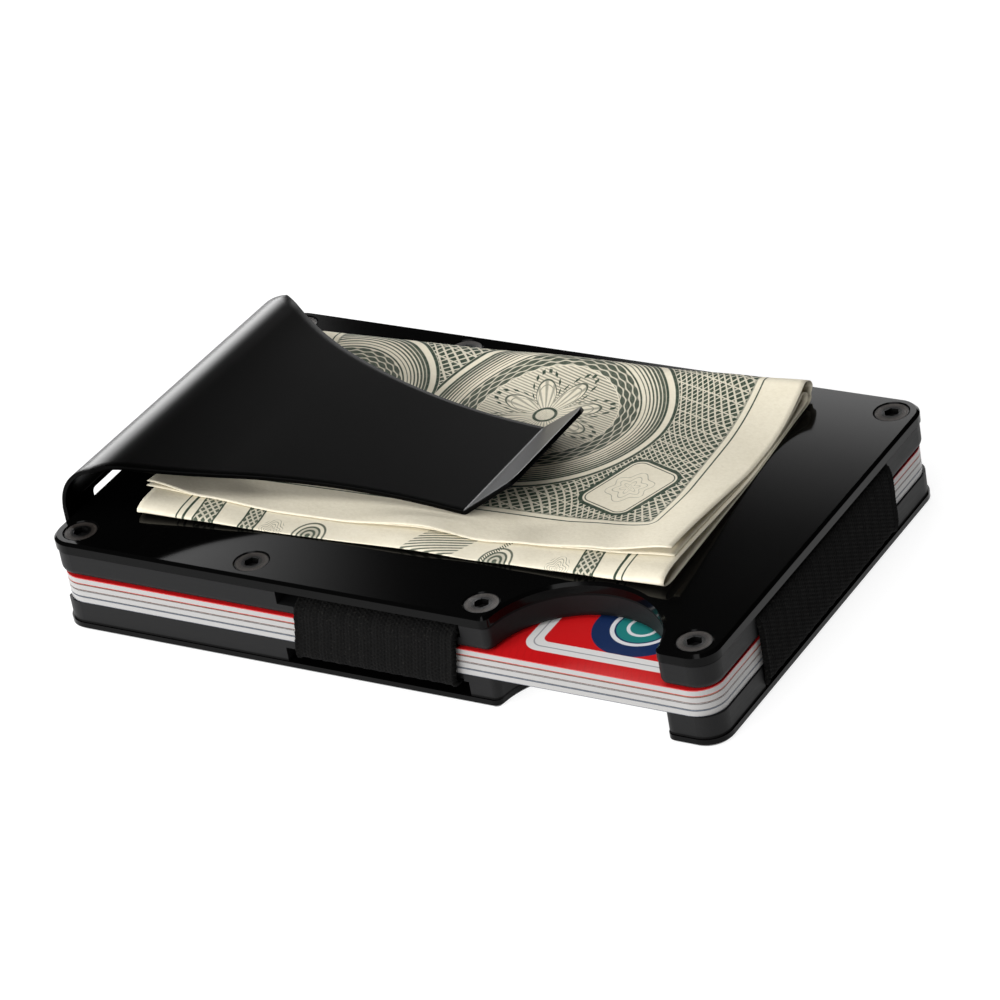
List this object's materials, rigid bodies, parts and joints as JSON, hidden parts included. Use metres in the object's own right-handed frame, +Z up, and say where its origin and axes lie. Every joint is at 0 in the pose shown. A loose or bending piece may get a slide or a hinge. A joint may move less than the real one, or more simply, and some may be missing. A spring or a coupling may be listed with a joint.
{
  "type": "minimalist card wallet",
  "caption": "Rigid two-part wallet that holds a stack of bank cards between metal plates by elastic bands, with a thumb notch and a bent spring money clip.",
  "frame": {"origin": "centre of the bottom face, which rests on the table", "axes": "+X towards the closed end with the thumb notch, -X out of the open end under the money clip, +Z up through the money clip"},
  "size_m": [0.0875, 0.0556, 0.0189],
  "materials": {
    "outer_plate": "satin",
    "inner_plate": "satin",
    "screw": "satin",
    "clip": "gloss",
    "band": "matte",
    "card_red": "satin",
    "card_white": "satin",
    "banknote": "matte"
  },
  "bodies": {
    "lower": {"lower_outer_plate": "outer_plate", "lower_inner_plate": "inner_plate", "cross_band": "band", "end_band": "band", "lower_screw_1": "screw", "lower_screw_2": "screw", "lower_screw_3": "screw", "lower_screw_4": "screw", "lower_screw_5": "screw", "lower_screw_6": "screw", "lower_screw_7": "screw", "lower_screw_8": "screw"},
    "upper": {"upper_inner_plate": "inner_plate", "upper_outer_plate": "outer_plate", "clip_spine": "clip", "upper_screw_1": "screw", "upper_screw_2": "screw", "upper_screw_3": "screw", "upper_screw_4": "screw", "upper_screw_5": "screw", "upper_screw_6": "screw", "upper_screw_7": "screw", "upper_screw_8": "screw"},
    "clip": {"clip_leaf": "clip"},
    "card_1": {"card_1": "card_white"},
    "card_2": {"card_2": "card_white"},
    "card_3": {"card_3": "card_white"},
    "card_4": {"card_4": "card_red"},
    "note": {"banknote": "banknote"}
  },
  "joints": [
    {"name": "spread", "type": "slide", "parent": "lower", "child": "upper", "axis": [0, 0, 1], "range_m": [0, 0.007], "stiffness_N_per_m": 300, "springref_m": -0.012, "deforming": ["cross_band", "end_band"]},
    {"name": "clip_flex", "type": "hinge", "parent": "upper", "child": "clip", "pos_m": [-0.04385, 0, 0.013], "axis": [0, -1, 0], "range_deg": [0, 8], "stiffness_Nm_per_rad": 1, "springref_deg": -2.86},
    {"name": "card_1_slide", "type": "slide", "parent": "lower", "child": "card_1", "axis": [-1, 0, 0], "range_m": [0, 0.06]},
    {"name": "card_2_slide", "type": "slide", "parent": "lower", "child": "card_2", "axis": [-1, 0, 0], "range_m": [0, 0.06]},
    {"name": "card_3_slide", "type": "slide", "parent": "lower", "child": "card_3", "axis": [-1, 0, 0], "range_m": [0, 0.06]},
    {"name": "card_4_slide", "type": "slide", "parent": "lower", "child": "card_4", "axis": [-1, 0, 0], "range_m": [0, 0.06]},
    {"name": "note_slide", "type": "slide", "parent": "upper", "child": "note", "axis": [0.999, 0.0454, 0], "range_m": [0, 0.06]}
  ]
}
